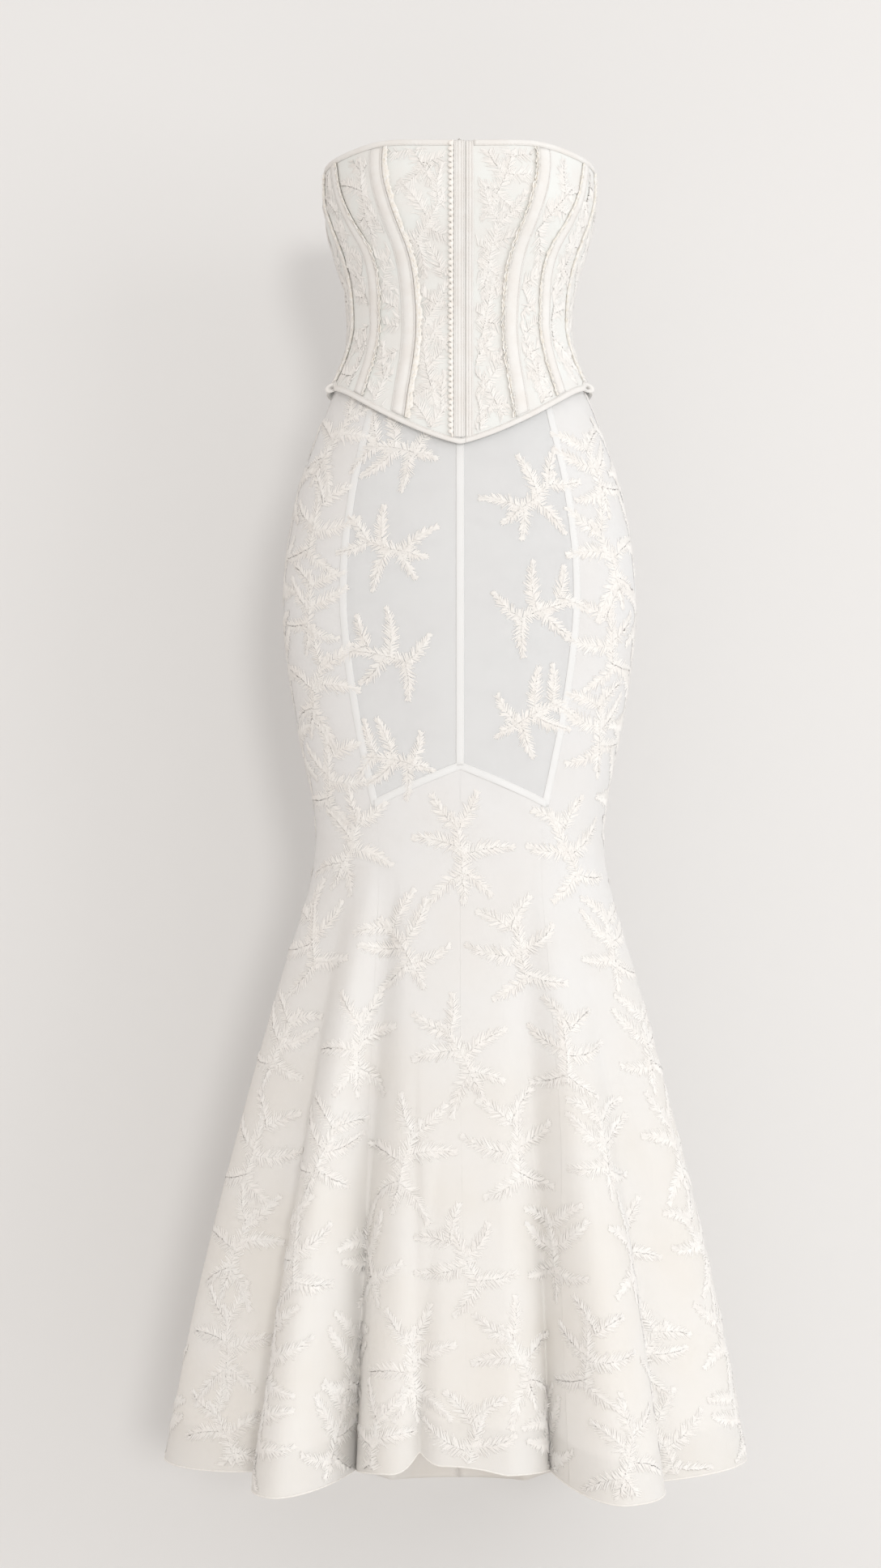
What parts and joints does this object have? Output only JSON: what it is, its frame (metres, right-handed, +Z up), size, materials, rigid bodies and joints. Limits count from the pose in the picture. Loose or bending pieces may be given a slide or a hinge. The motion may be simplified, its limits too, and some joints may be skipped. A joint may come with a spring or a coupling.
{
  "type": "strapless corset maxi dress",
  "caption": "Strapless boned corset with a pointed basque over a fitted, semi-sheer maxi skirt of gores that flares below the knee into deep rounded folds.",
  "frame": {"origin": "the middle of the dress's waist, its narrowest level, where the wearer's waist holds the dress up", "axes": "+Z up along the wearer, +Y towards the wearer's back, so the front of the dress faces -Y, and +X to the right in a front view"},
  "size_m": [0.5994, 0.4955, 1.4389],
  "materials": {
    "corset_cloth": "matt white cotton with raised cream thread embroidery",
    "tape": "matt white twill tape and binding with a frayed raw edge",
    "frill": "soft cream looped cotton thread",
    "voile": "semi-sheer off-white voile with cream clipped-thread leaf sprays",
    "metal": "dull nickel wire"
  },
  "bodies": {
    "root": {"corset_front_left": "corset_cloth", "corset_front_right": "corset_cloth", "corset_cup_side_left": "corset_cloth", "corset_cup_side_right": "corset_cloth", "corset_side_front_left": "corset_cloth", "corset_side_front_right": "corset_cloth", "corset_side_back_left": "corset_cloth", "corset_side_back_right": "corset_cloth", "corset_back_side_left": "corset_cloth", "corset_back_side_right": "corset_cloth", "corset_back_left": "corset_cloth", "corset_back_right": "corset_cloth", "casing_princess_left": "tape", "casing_princess_right": "tape", "casing_sideFront_left": "tape", "casing_sideFront_right": "tape", "casing_side_left": "tape", "casing_side_right": "tape", "casing_sideBack_left": "tape", "casing_sideBack_right": "tape", "casing_back_left": "tape", "casing_back_right": "tape", "casing_centre_back": "tape", "top_edge_left": "tape", "top_edge_right": "tape", "basque_edge_front_left": "tape", "basque_edge_front_right": "tape", "basque_edge_back_left": "tape", "basque_edge_back_right": "tape", "front_fly": "tape", "front_under_band": "tape", "picot_trim": "frill", "hook": "metal", "eye": "metal", "skirt_front_left": "voile", "skirt_front_right": "voile", "skirt_front_flare_left": "voile", "skirt_front_flare_right": "voile", "skirt_side_front_left": "voile", "skirt_side_front_right": "voile", "skirt_side_back_left": "voile", "skirt_side_back_right": "voile", "skirt_back_left": "voile", "skirt_back_right": "voile"}
  },
  "joints": []
}
